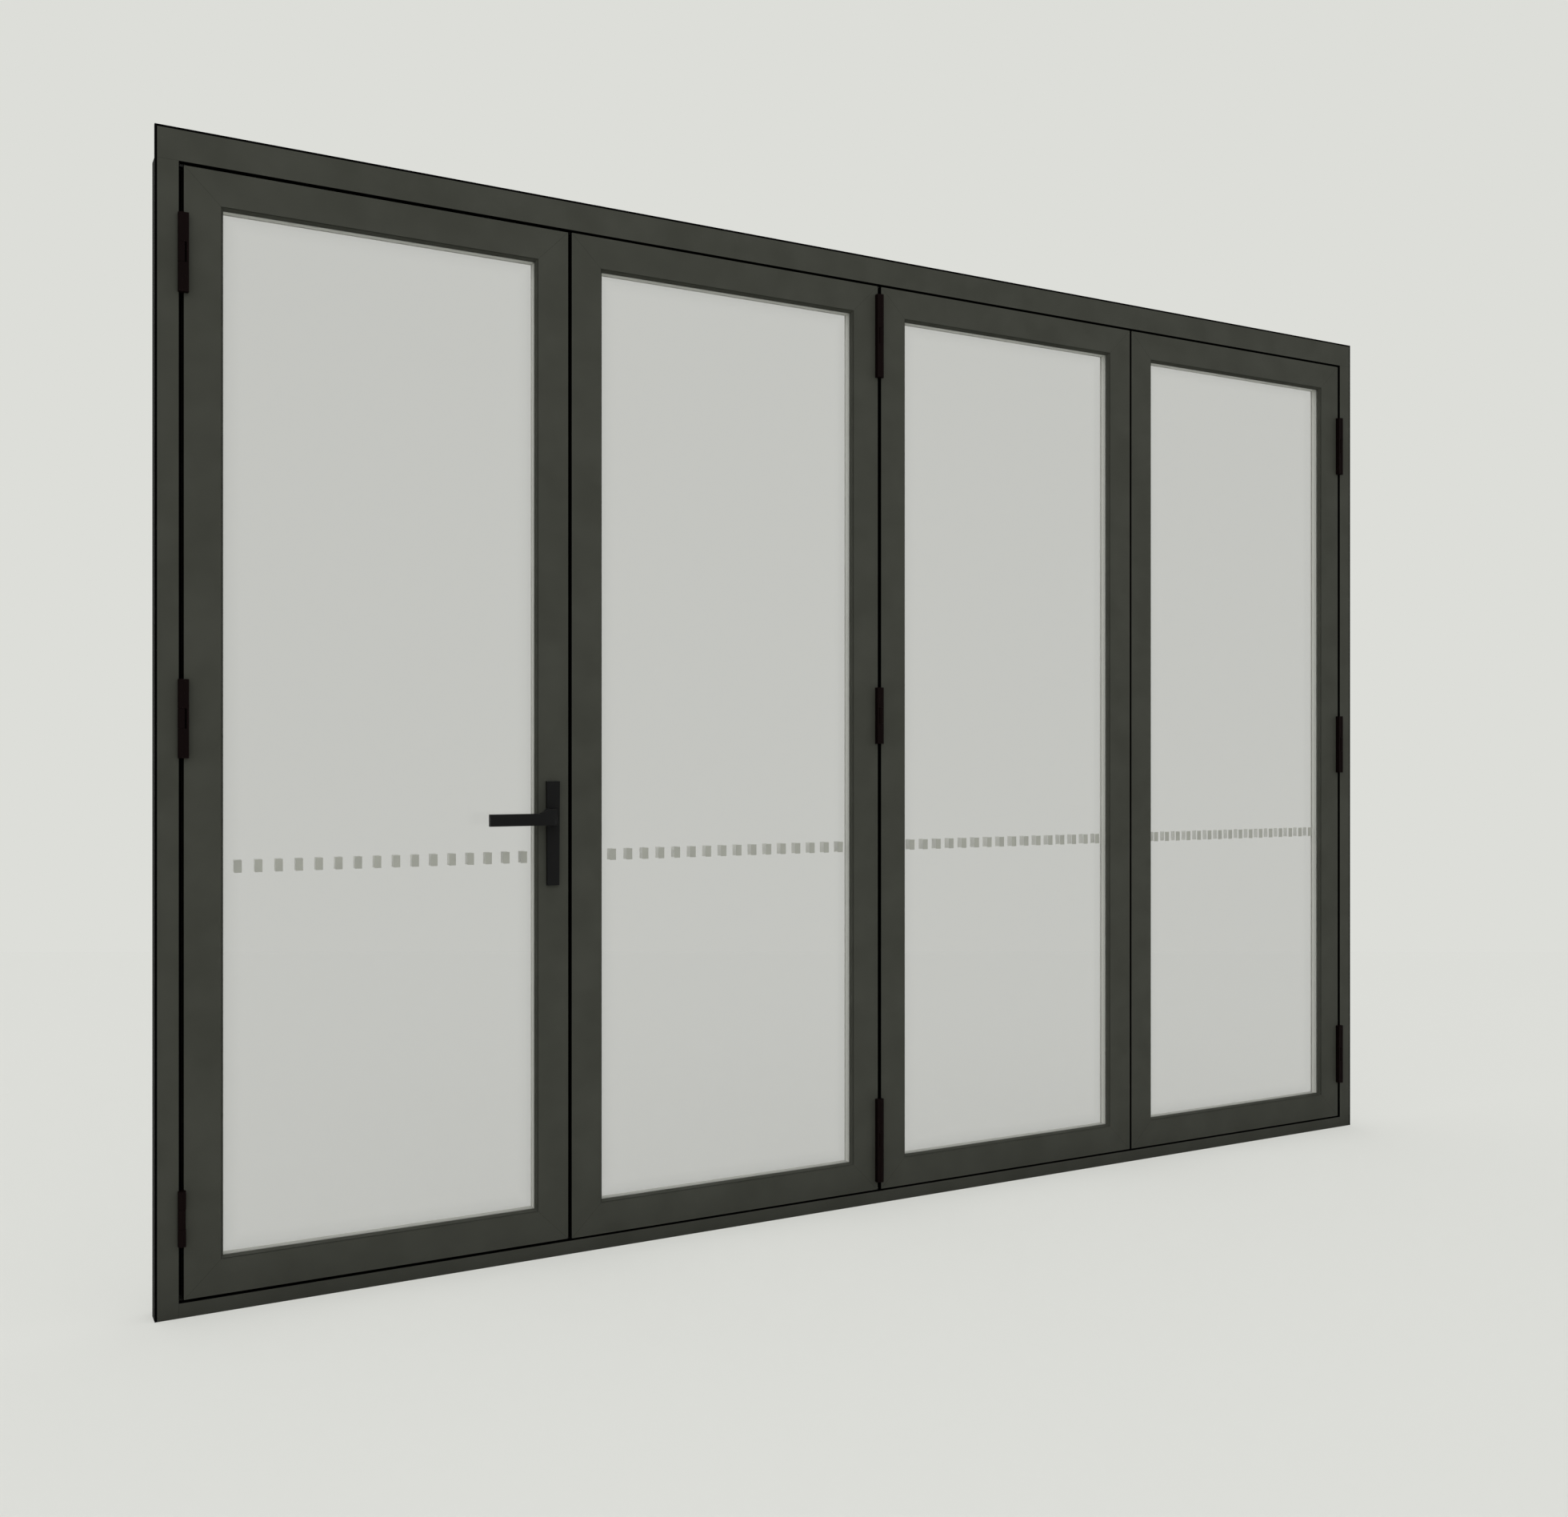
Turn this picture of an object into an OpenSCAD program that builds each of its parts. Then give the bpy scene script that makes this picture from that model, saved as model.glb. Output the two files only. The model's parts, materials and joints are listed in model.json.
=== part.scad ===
// Four-leaf aluminium bifold door set in its outer frame, seen from outside.
// X runs to the right, Y from the outer face towards the room, Z up from the floor.
// The origin is the middle of the sill's underside, halfway through the frame's depth.

/* [Outer frame] */
// Overall width of the frame
frame_w = 3425; // [2600:5:4200]
// Overall height of the frame
frame_h = 2400; // [2000:5:2600]
// Depth of the frame from front to back
frame_d = 70; // [68:1:90]
// Width of the jamb's front face
jamb_w = 45; // [40:1:60]
// Height of the head's front face
head_h = 66.7; // [62:0.1:90]
// Height of the sill's front face
sill_h = 29.7; // [28:0.1:45]
// Depth of the sill's outer half, with the guide groove
sill_shell_d = 40; // [38:1:42]
// Depth of the outer half of the head and jamb profiles
frame_shell_d = 25; // [22:1:28]
// Height of the black insulating break between the two halves of a profile
break_d = 6; // [5:1:8]
// How far the stop behind the leaves laps over their back faces
stop_lap = 12; // [8:1:16]
// Step in the frame's outer side, near the back
packer_step = 6; // [3:1:8]
// Depth of the frame's outer side in front of that step
packer_front = 40; // [36:1:48]
// Step in the head's ends, behind its front edge
head_end_step = 8; // [4:1:12]
// Wall of the aluminium profiles
wall = 2; // [1.6:0.1:2.4]
// Thickness of the insulating strips
strip_t = 2; // [1.5:0.5:3]

/* [Track] */
// Width of the track that the rollers run in
track_w = 26; // [24:1:28]
// Height of the track
track_h = 40; // [34:1:42]
// Wall of the track
track_wall = 3; // [2:0.5:4]
// Width of the slot below the track
track_slot = 12; // [8:1:14]
// Width of the guide groove in the sill
guide_w = 12; // [8:1:14]
// Depth of the guide groove
guide_h = 16; // [10:1:20]

/* [Seals] */
// Width of the black strip around the frame's front edge
edge_seal_w = 4.6; // [3:0.1:6]
// Depth of that strip
edge_seal_d = 8; // [5:1:12]
// Running gap between a leaf's back face and the seal behind it
stop_gap = 5; // [5:0.5:7]
// Thickness of the seal on the stop
stop_seal_t = 3; // [2:0.5:3]
// Width of the seal on the stop
stop_seal_w = 8; // [6:0.5:9]

/* [Leaves] */
// Gap between a hinged leaf and its jamb
jamb_gap = 9.9; // [9:0.1:12]
// Gap between the access leaf and the folding leaves
lock_gap = 9; // [8.6:0.1:12]
// Gap between two leaves whose hinge is outside
front_fold_gap = 10.6; // [9:0.1:12]
// Gap between two leaves whose hinge is inside
rear_fold_gap = 6.6; // [6:0.1:9]
// Gap above the folding leaves
top_gap = 6.3; // [5.5:0.1:10]
// Gap below the folding leaves
bottom_gap = 5; // [4.5:0.1:8]
// How much smaller the access leaf is than a folding leaf, at each of its edges
access_trim = 1.2; // [1:0.1:3]
// Width of a stile's or rail's flat front face
face_w = 71; // [64:1:90]
// Width of the groove between that face and the bevel
groove_w = 1.5; // [1:0.1:2]
// Depth of that groove
groove_d = 2.5; // [2:0.1:3.5]
// Width of the bevel beside the glass
bevel_w = 4; // [3:0.5:8]
// Depth of the aluminium half of a leaf that faces outside
leaf_shell_d = 20; // [18:1:24]

/* [Glass] */
// Distance from a leaf's front face back to its glass
glass_set = 13; // [12:0.5:15]
// Thickness of one pane
pane_t = 4; // [4:1:6]
// Gap between the two panes
cavity_t = 16; // [12:1:16]
// How far the glass reaches in behind the sight line
glass_bite = 11; // [9:1:13]
// Room between the glass edge and the profile
glass_room = 3.5; // [2:0.5:5]
// Height of the spacer bar between the panes
spacer_h = 7; // [5:0.5:8]
// Height of the sealant between the spacer bar and the glass edge
sealant_h = 3; // [2:0.5:3]
// Depth of the seals that close the gaps between the folding leaves
seam_seal_d = 4; // [3:0.5:6]
// Thickness of the glazing seals
glazing_seal_t = 2; // [1.5:0.5:3]
// Depth of the glazing bead on the room side
bead_d = 7; // [6:0.5:8]
// How much lower the bead stands than the profile's outer edge
bead_drop = 6; // [3:0.5:6.5]
// Width of the bead's flat back
bead_flat = 2; // [1:0.5:3]
// Height of the bead's upright edge
bead_edge = 1; // [0.5:0.5:2]

/* [Hinges] */
// Distance from the leaves' faces to an outer hinge's pin
pin_out = 6.5; // [6.5:0.5:8]
// Distance from the leaves' faces to an inner hinge's pin
inner_pin_out = 8; // [7.5:0.5:9]
// How far a hinge's pad stands out from the pin's centre
pad_out = 6.5; // [5:0.5:6.5]
// Radius of a knuckle
knuckle_r = 7.5; // [6:0.5:7.5]
// Radius of a hinge pin
pin_r = 3; // [2:0.5:4]
// Running clearance of a pin in its knuckle
pin_clear = 0.1; // [0.05:0.05:0.3]
// How far a hinge's pad reaches over the leaf, from the pin
pad_w = 13; // [11:0.5:15]
// The same for the access leaf's lowest hinge, which has no pad beside its knuckles
low_pad_w = 7.5; // [7:0.5:7.5]
// Thickness of a hinge's plate in the gap
plate_t = 3; // [2:0.5:3.5]
// How deep that plate reaches into the gap, from the face
plate_d = 30; // [20:1:34]
// Height of a hinge's middle knuckle
middle_knuckle_h = 40; // [24:1:50]
// Gap between two knuckles
knuckle_gap = 0.5; // [0.3:0.1:1]
// Foot of the access leaf's lower and middle hinge, above the floor
access_hinge_z = [146, 1129]; // [100:1:1400]
// Distance from the folding leaves' top down to the access leaf's top hinge
access_hinge_drop = 99.5; // [40:0.5:300]
// Height of the access leaf's hinges
access_hinge_h = [111.5, 159.5, 159.5]; // [100:0.5:200]
// Foot of the lower and middle hinge between the second and third leaf
fold_hinge_z = [55.5, 1166]; // [45:0.5:1400]
// Distance from the leaf's top down to the top hinge there
fold_hinge_drop = 22.5; // [10:0.5:300]
// Height of those hinges
fold_hinge_h = [210, 142.5, 210]; // [100:0.5:220]
// Foot of the lower and middle hinge on the right jamb
end_hinge_z = [138, 1086]; // [100:1:1400]
// Distance from the leaf's top down to the top hinge there
end_hinge_drop = 158; // [40:0.5:300]
// Height of those hinges
end_hinge_h = [173.5, 171.5, 171.5]; // [100:0.5:200]

/* [Handle] */
// Height of the lever's axis above the floor
lever_z = 992.5; // [900:2.5:1100]
// Distance from the access leaf's edge to the lever's axis
lever_in = 38; // [34:0.5:42]
// Length of the outer lever from its axis to its tip
lever_l = 160; // [110:1:170]
// Length of the inner lever
inner_lever_l = 110; // [90:1:120]
// Height of the outer lever's grip
grip_h = 26.5; // [18:0.5:28]
// Height of the inner lever's grip
inner_grip_h = 15; // [12:0.5:20]
// Thickness of the flat bar that both levers are bent from
grip_t = 12; // [8:0.5:14]
// Distance from the leaf's face to the front of the grip
grip_out = 50; // [45:1:60]
// Outer radius of the levers' bend
bend_r = 30; // [20:1:32]
// Height of the outer lever's shoulder above its axis
shoulder_up = 24; // [20:0.5:28]
// Distance from the axis to where the blend into the shoulder begins
blend_l = 49; // [44:0.5:60]
// Radius of that blend
blend_r = 23; // [18:0.5:26]
// Radius of the collar at the levers' foot
collar_r = 11; // [9:0.5:12]
// Thickness of that collar
collar_t = 3.5; // [2:0.5:6]
// Width of the handle plate at its top
plate_top_w = 31; // [28:0.5:36]
// Width of the handle plate at its foot
plate_foot_w = 28; // [26:0.5:34]
// Height of the handle plate above the lever's axis
plate_up = 84.5; // [70:0.5:110]
// Height of the handle plate below the lever's axis
plate_down = 150.5; // [120:0.5:170]
// Thickness of the handle plate
plate_thick = 8; // [6:0.5:12]
// Size of the square spindle
spindle_s = 8; // [7:1:10]

/* [Lock and rollers] */
// Length of the lock's face plate on the access leaf's edge
face_plate_l = 240; // [180:10:300]
// Width of that plate and of the keep on the second leaf
face_plate_w = 20; // [16:1:22]
// Thickness of those plates
face_plate_t = 1.2; // [1:0.1:1.4]
// Length of the keep
keep_l = 180; // [150:10:240]
// Radius of the rollers in the track
roller_r = 8; // [6:0.5:9]
// Distance between the two roller axles
roller_pitch = 40; // [30:1:60]
// Radius of the pins that hold the folding leaves in the track and in the groove
guide_pin_r = 4; // [3:0.5:4.5]

/* [Fixings] */
// Radius of the fixing holes through the jambs
fixing_r = 4; // [3:0.5:5]
// Height of the lowest jamb fixing above the floor
fixing_foot = 300; // [300:10:420]
// Distance between the lowest and the highest jamb fixing
fixing_outer_pitch = 1600; // [1200:10:1640]
// Distance between the two middle jamb fixings
fixing_inner_pitch = 500; // [400:10:900]

/* [Hidden] */

$fn = 48;
eps = 0.01;
// How far a cutting tool reaches past what it cuts
over = 1;

// Places that follow from the sizes above
front_y = -frame_d / 2;
inner_w = frame_w - 2 * jamb_w;
gap_sum = 2 * jamb_gap + lock_gap + front_fold_gap + rear_fold_gap;
leaf_w = (inner_w - gap_sum + 2 * access_trim) / 4;
access_w = leaf_w - 2 * access_trim;
leaf_h = frame_h - head_h - top_gap - bottom_gap - sill_h;
leaf_z = sill_h + bottom_gap;
left_x = -frame_w / 2;
leaf_1_x = left_x + jamb_w + jamb_gap;
leaf_2_x = leaf_1_x + access_w + lock_gap;
leaf_3_x = leaf_2_x + leaf_w + front_fold_gap;
leaf_4_x = leaf_3_x + leaf_w + rear_fold_gap;
leaf_x = [leaf_1_x, leaf_2_x, leaf_3_x, leaf_4_x];
leaf_top = leaf_z + leaf_h;

// Width, height and foot of leaf n
function width_of(n) = n == 1 ? access_w : leaf_w;
function height_of(n) = n == 1 ? leaf_h - 2 * access_trim : leaf_h;
function foot_of(n) = n == 1 ? leaf_z + access_trim : leaf_z;

glass_t = 2 * pane_t + cavity_t;
sight_w = face_w + groove_w + bevel_w;
rebate_w = sight_w - glass_bite - glass_room;
leaf_d = glass_set + glass_t + glazing_seal_t + bead_d;
leaf_rear_v = leaf_shell_d + break_d;
stop_v = leaf_d + stop_gap + stop_seal_t;
frame_rear_v = frame_shell_d + break_d;

jamb_stop_u = jamb_w + jamb_gap + stop_lap;
head_stop_u = head_h + top_gap + stop_lap;
sill_stop_u = sill_h + bottom_gap + stop_lap;

// The top track sits in the head, above the middle of the leaves
track_v = leaf_d / 2 - track_w / 2;

frame_colour = [0.25, 0.255, 0.23];
black_colour = [0.05, 0.05, 0.05];
hinge_colour = [0.08, 0.055, 0.05];
handle_colour = [0.1, 0.1, 0.1];
glass_colour = [0.8, 0.85, 0.82, 0.35];
spacer_colour = [0.7, 0.71, 0.7];

// Profiles are drawn with u across the face and v from the front to the back.

// A straight piece of a profile with both ends mitred, shorter towards larger u
module mitred(length) {
    reach = 2 * sight_w;
    difference() {
        linear_extrude(length) children();
        translate([0, -eps, 0]) rotate([0, -45, 0])
            translate([-reach, 0, -reach]) cube([2 * reach, frame_d, reach]);
        translate([0, -eps, length]) rotate([0, 45, 0])
            translate([-reach, 0, 0]) cube([2 * reach, frame_d, reach]);
    }
}

// One mitred side of leaf n, in the leaf's own frame: 0 left, 1 right, 2 top, 3 bottom
module leaf_side(n, side) {
    if (side == 0) mitred(height_of(n)) children();
    if (side == 1) translate([width_of(n), 0, 0]) mirror([1, 0, 0]) mitred(height_of(n)) children();
    if (side == 2)
        translate([0, 0, height_of(n)]) mirror([0, 0, 1]) mirror([1, 0, -1]) mitred(width_of(n)) children();
    if (side == 3) mirror([1, 0, -1]) mitred(width_of(n)) children();
}

// Puts what is drawn in a leaf's own frame at leaf n
module at_leaf(n) {
    translate([leaf_x[n - 1], front_y, foot_of(n)]) children();
}

// All four sides of leaf n, in place
module leaf_ring(n) {
    at_leaf(n) for (side = [0:3]) leaf_side(n, side) children();
}

// The outer half of a stile or rail, with the groove and the bevel beside the glass
module leaf_outer_section() {
    lip_v = glass_set - glazing_seal_t;
    bevel_v = groove_d - 1;
    difference() {
        polygon([
            [0, 0], [face_w, 0], [face_w, groove_d], [face_w + groove_w, groove_d],
            [face_w + groove_w, bevel_v], [sight_w, lip_v - wall], [sight_w, lip_v],
            [rebate_w, lip_v], [rebate_w, leaf_shell_d], [0, leaf_shell_d]
        ]);
        polygon([
            [wall, wall], [face_w - wall, wall], [face_w - wall, lip_v - wall],
            [rebate_w - wall, lip_v - wall], [rebate_w - wall, leaf_shell_d - wall],
            [wall, leaf_shell_d - wall]
        ]);
    }
}

// The room half of a stile or rail
module leaf_inner_section() {
    depth = leaf_d - leaf_rear_v;
    difference() {
        translate([0, leaf_rear_v]) square([rebate_w, depth]);
        translate([wall, leaf_rear_v + wall]) square([rebate_w - 2 * wall, depth - 2 * wall]);
    }
}

module leaf_section() {
    leaf_outer_section();
    leaf_inner_section();
}

// Two insulating strips join the halves
module leaf_break_section() {
    for (u = [wall, rebate_w - wall - strip_t])
        translate([u, leaf_shell_d]) square([strip_t, break_d]);
}

// The clip-in bead on the room side, with its slope away from the glass
module bead_section() {
    bead_v = leaf_d - bead_d;
    tip_u = sight_w - bead_drop;
    polygon([
        [rebate_w, bead_v], [tip_u, bead_v], [tip_u, bead_v + bead_edge],
        [rebate_w + bead_flat, leaf_d], [rebate_w, leaf_d]
    ]);
}

// Seals on both sides of the glass
module glazing_seal_section() {
    edge_u = rebate_w + glass_room;
    translate([edge_u, glass_set - glazing_seal_t])
        square([sight_w - edge_u, glazing_seal_t]);
    translate([edge_u, glass_set + glass_t])
        square([sight_w - bead_drop - edge_u, glazing_seal_t]);
}

// The spacer bar with the sealant below it, down to the edge of the glass
module spacer_section() {
    translate([rebate_w + glass_room, glass_set + pane_t])
        square([spacer_h + sealant_h, cavity_t]);
}

// The frame's jamb: the outer half has a corner cut out for the edge seal
module jamb_outer_section() {
    difference() {
        square([jamb_w, frame_shell_d]);
        translate([-eps, -eps]) square([edge_seal_w + eps, edge_seal_d + eps]);
        translate([edge_seal_w + wall, wall])
            square([jamb_w - edge_seal_w - 2 * wall, frame_shell_d - 2 * wall]);
    }
}

// The jamb's room half, with the stop that the leaves close against
module jamb_inner_section() {
    difference() {
        polygon([
            [0, frame_rear_v], [jamb_w, frame_rear_v], [jamb_w, stop_v],
            [jamb_stop_u, stop_v], [jamb_stop_u, frame_d], [packer_step, frame_d],
            [packer_step, packer_front], [0, packer_front]
        ]);
        polygon([
            [packer_step + wall, frame_rear_v + wall], [jamb_w - wall, frame_rear_v + wall],
            [jamb_w - wall, stop_v + wall], [jamb_stop_u - wall, stop_v + wall],
            [jamb_stop_u - wall, frame_d - wall], [packer_step + wall, frame_d - wall]
        ]);
    }
}

module jamb_section() {
    jamb_outer_section();
    jamb_inner_section();
}

// The outer strip lies flush with the jamb's outer side
module jamb_break_section() {
    for (u = [0, jamb_w - wall - strip_t])
        translate([u, frame_shell_d]) square([strip_t, break_d]);
}

// The head: its outer half stands in front of the track, its room half behind it
module head_outer_section() {
    over_track_u = head_h - track_h;
    difference() {
        polygon([
            [0, 0], [head_h, 0], [head_h, track_v], [over_track_u, track_v],
            [over_track_u, frame_shell_d], [0, frame_shell_d]
        ]);
        translate([-eps, -eps]) square([edge_seal_w + eps, edge_seal_d + eps]);
        polygon([
            [edge_seal_w + wall, wall], [head_h - wall, wall], [head_h - wall, track_v - wall],
            [over_track_u - wall, track_v - wall], [over_track_u - wall, frame_shell_d - wall],
            [edge_seal_w + wall, frame_shell_d - wall]
        ]);
    }
}

module head_inner_section() {
    over_track_u = head_h - track_h;
    track_back_v = track_v + track_w;
    difference() {
        polygon([
            [0, frame_rear_v], [over_track_u, frame_rear_v], [over_track_u, track_back_v],
            [head_h, track_back_v], [head_h, stop_v], [head_stop_u, stop_v],
            [head_stop_u, frame_d], [0, frame_d]
        ]);
        polygon([
            [wall, frame_rear_v + wall], [over_track_u - wall, frame_rear_v + wall],
            [over_track_u - wall, track_back_v + wall], [head_h - wall, track_back_v + wall],
            [head_h - wall, stop_v + wall], [head_stop_u - wall, stop_v + wall],
            [head_stop_u - wall, frame_d - wall], [wall, frame_d - wall]
        ]);
    }
}

module head_section() {
    head_outer_section();
    head_inner_section();
}

module head_break_section() {
    for (u = [wall, head_h - track_h - wall - strip_t])
        translate([u, frame_shell_d]) square([strip_t, break_d]);
}

// The track that the folding leaves' rollers run in, open below
module track_section() {
    difference() {
        translate([head_h - track_h, track_v]) square([track_h, track_w]);
        translate([head_h - track_h + track_wall, track_v + track_wall])
            square([track_h - 2 * track_wall, track_w - 2 * track_wall]);
        translate([head_h - 2 * track_wall, leaf_d / 2 - track_slot / 2])
            square([3 * track_wall, track_slot]);
    }
}

// The sill: its outer half holds the guide groove, its room half carries the stop
module sill_outer_section() {
    groove_v = leaf_d / 2 - guide_w / 2;
    behind_v = groove_v + guide_w + wall;
    difference() {
        square([sill_h, sill_shell_d]);
        translate([sill_h - guide_h, groove_v]) square([guide_h + eps, guide_w]);
        translate([wall, wall]) square([sill_h - 2 * wall, groove_v - 2 * wall]);
        translate([wall, behind_v]) square([sill_h - 2 * wall, sill_shell_d - wall - behind_v]);
    }
}

module sill_inner_section() {
    shell_v = sill_shell_d + break_d;
    difference() {
        polygon([
            [0, shell_v], [sill_h, shell_v], [sill_h, stop_v], [sill_stop_u, stop_v],
            [sill_stop_u, frame_d], [0, frame_d]
        ]);
        polygon([
            [wall, shell_v + wall], [sill_h - wall, shell_v + wall], [sill_h - wall, stop_v + wall],
            [sill_stop_u - wall, stop_v + wall], [sill_stop_u - wall, frame_d - wall],
            [wall, frame_d - wall]
        ]);
    }
}

module sill_section() {
    sill_outer_section();
    sill_inner_section();
}

module sill_break_section() {
    for (u = [wall, sill_h - wall - strip_t])
        translate([u, sill_shell_d]) square([strip_t, break_d]);
}

// Lays a profile along X with u pointing down from the top of the frame
module as_head(from_x, length) {
    translate([from_x, front_y, frame_h]) mirror([0, 0, 1]) mirror([1, 0, -1])
        linear_extrude(length) children();
}

// Lays a profile along X with u pointing up from the floor
module as_sill(from_x, length) {
    translate([from_x, front_y, 0]) mirror([1, 0, -1]) linear_extrude(length) children();
}

// Stands a profile at the left or right end of the frame with u pointing inwards
module as_jamb(right, length) {
    translate([right ? -left_x : left_x, front_y, 0]) mirror([right ? 1 : 0, 0, 0])
        linear_extrude(length) children();
}

jamb_h = frame_h - head_h;
jamb_notch = head_stop_u - head_h;

// The jamb's stop ends below the head's stop
module jamb(right) {
    difference() {
        as_jamb(right, jamb_h) jamb_section();
        translate([0, 0, jamb_h - jamb_notch]) as_jamb(right, jamb_notch + eps)
            translate([packer_step - eps, stop_v - eps]) square([frame_d, frame_d - stop_v + 2 * eps]);
        for (z = fixing_heights) translate([0, front_y + fixing_v, z])
            translate([right ? -left_x : left_x, 0, 0]) mirror([right ? 1 : 0, 0, 0])
                translate([-over, 0, 0]) rotate([0, 90, 0])
                    cylinder(r = fixing_r, h = jamb_w + 2 * over);
    }
}

// The jamb fixings go through the room half, between its step and the stop
fixing_edge = 1;
fixing_v = packer_front + fixing_edge + fixing_r;
fixing_mid = fixing_foot + fixing_outer_pitch / 2;
fixing_heights = [
    fixing_mid - fixing_outer_pitch / 2, fixing_mid - fixing_inner_pitch / 2,
    fixing_mid + fixing_inner_pitch / 2, fixing_mid + fixing_outer_pitch / 2
];

module head_frame() {
    color(frame_colour) difference() {
        as_head(left_x, frame_w) head_section();
        for (right = [false, true]) translate([0, 0, jamb_h - head_stop_u]) {
            as_jamb(right, head_stop_u + frame_h) translate([-eps, edge_seal_d])
                square([head_end_step + eps, frame_d]);
            as_jamb(right, head_stop_u + frame_h) translate([-eps, -eps])
                square([edge_seal_w + eps, edge_seal_d + 2 * eps]);
        }
    }
}

module sill_frame() {
    color(frame_colour) difference() {
        as_sill(left_x + jamb_w, inner_w) sill_section();
        for (right = [false, true]) as_jamb(right, sill_stop_u + over)
            translate([0, stop_v - eps]) square([jamb_stop_u, frame_d]);
    }
}

module left_jamb() {
    color(frame_colour) jamb(false);
}

module right_jamb() {
    color(frame_colour) jamb(true);
}

module head_track() {
    color(spacer_colour) as_head(left_x + jamb_w, inner_w) track_section();
}

module frame_breaks() {
    color(black_colour) {
        as_head(left_x + head_end_step, frame_w - 2 * head_end_step) head_break_section();
        as_sill(left_x + jamb_w, inner_w) sill_break_section();
        for (right = [false, true]) as_jamb(right, jamb_h) jamb_break_section();
    }
}

// The black strip along the front edge of the head and jambs
module edge_seal() {
    color(black_colour) {
        as_head(left_x, frame_w) square([edge_seal_w, edge_seal_d]);
        for (right = [false, true]) as_jamb(right, frame_h - edge_seal_w)
            square([edge_seal_w, edge_seal_d]);
    }
}

// How far a seal stays back from the edge that it is fixed beside
seal_edge = 1;

// The seal on the front of the frame's stop, which the leaves close against
module stop_seals() {
    side_u = jamb_stop_u - seal_edge;
    foot_z = sill_stop_u - seal_edge;
    ring_w = frame_w - 2 * side_u;
    ring_h = frame_h - head_stop_u + seal_edge - foot_z;
    color(black_colour) translate([left_x + side_u, front_y + stop_v - stop_seal_t, foot_z])
        mirror([0, 1, -1]) linear_extrude(stop_seal_t) difference() {
            translate([-stop_seal_w, -stop_seal_w])
                square([ring_w + 2 * stop_seal_w, ring_h + 2 * stop_seal_w]);
            square([ring_w, ring_h]);
        }
}

// One side of a leaf; the lock stile is drilled for the handle's spindle
module leaf_bar(n, side) {
    color(frame_colour) difference() {
        at_leaf(n) leaf_side(n, side) leaf_section();
        if (n == 1 && side == 1) lock_bores();
    }
}

module leaf_1_left_stile() { leaf_bar(1, 0); }
module leaf_1_right_stile() { leaf_bar(1, 1); }
module leaf_1_top_rail() { leaf_bar(1, 2); }
module leaf_1_bottom_rail() { leaf_bar(1, 3); }
module leaf_2_left_stile() { leaf_bar(2, 0); }
module leaf_2_right_stile() { leaf_bar(2, 1); }
module leaf_2_top_rail() { leaf_bar(2, 2); }
module leaf_2_bottom_rail() { leaf_bar(2, 3); }
module leaf_3_left_stile() { leaf_bar(3, 0); }
module leaf_3_right_stile() { leaf_bar(3, 1); }
module leaf_3_top_rail() { leaf_bar(3, 2); }
module leaf_3_bottom_rail() { leaf_bar(3, 3); }
module leaf_4_left_stile() { leaf_bar(4, 0); }
module leaf_4_right_stile() { leaf_bar(4, 1); }
module leaf_4_top_rail() { leaf_bar(4, 2); }
module leaf_4_bottom_rail() { leaf_bar(4, 3); }

// Two panes with a sealed gap between them
module leaf_glass(n) {
    inset = rebate_w + glass_room;
    color(glass_colour) at_leaf(n)
        for (v = [glass_set, glass_set + pane_t + cavity_t])
            translate([inset, v, inset])
                cube([width_of(n) - 2 * inset, pane_t, height_of(n) - 2 * inset]);
}

module access_leaf_glass() {
    leaf_glass(1);
}

module folding_leaf_glass() {
    for (n = [2:4]) leaf_glass(n);
}

module access_leaf_breaks() {
    color(black_colour) leaf_ring(1) leaf_break_section();
}

module folding_leaf_breaks() {
    color(black_colour) for (n = [2:4]) leaf_ring(n) leaf_break_section();
}

module access_leaf_spacer() {
    color(spacer_colour) leaf_ring(1) spacer_section();
}

module folding_leaf_spacers() {
    color(spacer_colour) for (n = [2:4]) leaf_ring(n) spacer_section();
}

module access_leaf_beads() {
    color(frame_colour) leaf_ring(1) bead_section();
}

module folding_leaf_beads() {
    color(frame_colour) for (n = [2:4]) leaf_ring(n) bead_section();
}

module access_leaf_seals() {
    color(black_colour) leaf_ring(1) glazing_seal_section();
}

module folding_leaf_seals() {
    color(black_colour) for (n = [2:4]) leaf_ring(n) glazing_seal_section();
}

// The seals in the gaps between the folding leaves, clear of the hinges' plates, and the one
// that the access leaf closes against
module seam_seals() {
    color(black_colour) {
        translate([leaf_2_x + leaf_w, front_y + plate_d + seal_edge, leaf_z])
            cube([front_fold_gap, seam_seal_d, leaf_h]);
        translate([leaf_3_x + leaf_w, front_y + leaf_d - plate_d - seal_edge - seam_seal_d, leaf_z])
            cube([rear_fold_gap, seam_seal_d, leaf_h]);
        translate([leaf_2_x - lock_gap - stop_lap + seal_edge, front_y + leaf_d + stop_gap, meeting_z])
            cube([stop_seal_w, stop_seal_t, meeting_h]);
    }
}

// The meeting stop ends just short of the frame's stop
meeting_room = 1;
meeting_z = leaf_z + stop_lap + meeting_room;
meeting_h = leaf_h - 2 * (stop_lap + meeting_room);

// The strip on the back of the second leaf that the access leaf closes against
module meeting_stop() {
    base_w = 20;
    arm_t = 4;
    arm_v = stop_gap + stop_seal_t;
    arm_end = -lock_gap - stop_lap;
    color(frame_colour) translate([leaf_2_x, front_y + leaf_d, meeting_z])
        linear_extrude(meeting_h) polygon([
            [0, 0], [base_w, 0], [base_w, arm_v + arm_t], [arm_end, arm_v + arm_t],
            [arm_end, arm_v], [0, arm_v]
        ]);
}

// Hinges are drawn about their pin, with the leaf that carries the pad on the +X side.
// gap is the gap between the two pieces that the hinge joins, out the pin's distance
// from their faces, and pad the reach of the pad over the leaf.

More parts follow.
